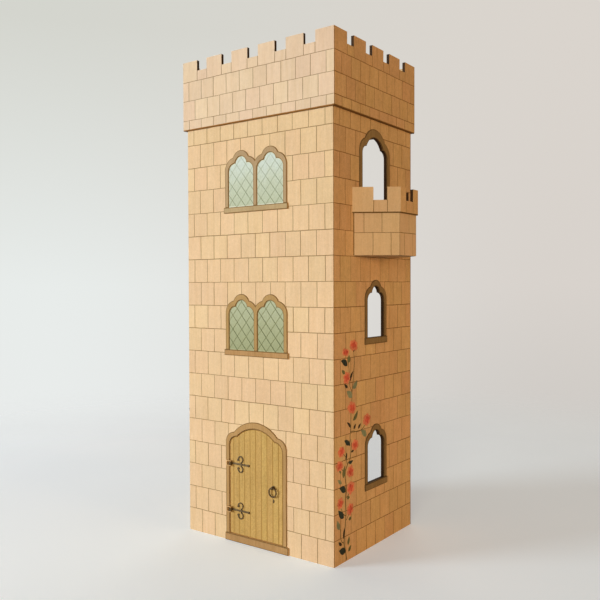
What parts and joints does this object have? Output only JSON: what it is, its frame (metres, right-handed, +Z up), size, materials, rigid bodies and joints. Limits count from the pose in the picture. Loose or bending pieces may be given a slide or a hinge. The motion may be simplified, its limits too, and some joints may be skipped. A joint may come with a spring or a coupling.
{
  "type": "dice tower",
  "caption": "Castle-shaped dice tower: a battlemented box with staggered ramps inside, a hinged arched door where dice roll out, a side balcony and lobed windows.",
  "frame": {"origin": "middle of the body's footprint, on the surface the tower stands on", "axes": "+Z up, the door faces -Y, the balcony faces +X, the open back faces +Y"},
  "size_m": [0.1414, 0.0987, 0.3095],
  "materials": {
    "stone_board": "matt board with fine engraved masonry lines",
    "plain_board": "plain matt board",
    "trim_board": "brown stained board, matt",
    "door_board": "olive stained board with plank grooves",
    "window_pane": "opaque pale green inlay",
    "window_lead": "thin grey-green raised lines",
    "ironwork": "dark brown, satin"
  },
  "bodies": {
    "tower": {"front_wall": "stone_board", "left_wall": "stone_board", "right_wall": "stone_board", "parapet_front": "stone_board", "parapet_back": "stone_board", "parapet_right": "stone_board", "parapet_left": "stone_board", "balcony_apron_front": "stone_board", "balcony_apron_outer": "stone_board", "balcony_apron_rear": "stone_board", "balcony_parapet_front": "stone_board", "balcony_parapet_outer": "stone_board", "balcony_parapet_rear": "stone_board", "base_plate": "plain_board", "rear_sill": "plain_board", "exit_ramp": "plain_board", "upper_ramp": "plain_board", "middle_ramp": "plain_board", "lower_ramp": "plain_board", "upper_ramp_fence": "plain_board", "middle_ramp_fence": "plain_board", "lower_ramp_fence": "plain_board", "upper_ramp_cleat": "plain_board", "middle_ramp_cleat": "plain_board", "lower_ramp_cleat": "plain_board", "balcony_floor": "plain_board", "balcony_underside": "plain_board", "door_stop": "plain_board", "upper_window_frame": "trim_board", "lower_window_frame": "trim_board", "upper_window_sill": "trim_board", "lower_window_sill": "trim_board", "middle_side_window_frame": "trim_board", "lower_side_window_frame": "trim_board", "middle_side_window_sill": "trim_board", "lower_side_window_sill": "trim_board", "balcony_door_frame": "trim_board", "door_frame": "trim_board", "door_threshold": "trim_board", "upper_left_pane": "window_pane", "upper_right_pane": "window_pane", "lower_left_pane": "window_pane", "lower_right_pane": "window_pane", "upper_left_leading": "window_lead", "upper_right_leading": "window_lead", "lower_left_leading": "window_lead", "lower_right_leading": "window_lead", "upper_hinge_pin": "ironwork", "lower_hinge_pin": "ironwork"},
    "door": {"door_leaf": "door_board", "upper_strap_hinge": "ironwork", "lower_strap_hinge": "ironwork", "ring_staple": "ironwork", "keyhole_plate": "ironwork"},
    "ring": {"ring_handle": "ironwork"}
  },
  "joints": [
    {"name": "door_hinge", "type": "hinge", "parent": "tower", "child": "door", "pos_m": [-0.0203, -0.04845, 0.035], "axis": [0, 0, -1], "range_deg": [0, 110]},
    {"name": "ring_pivot", "type": "hinge", "parent": "door", "child": "ring", "pos_m": [0.0137, -0.0485, 0.0393], "axis": [-1, 0, 0], "range_deg": [0, 85]}
  ]
}
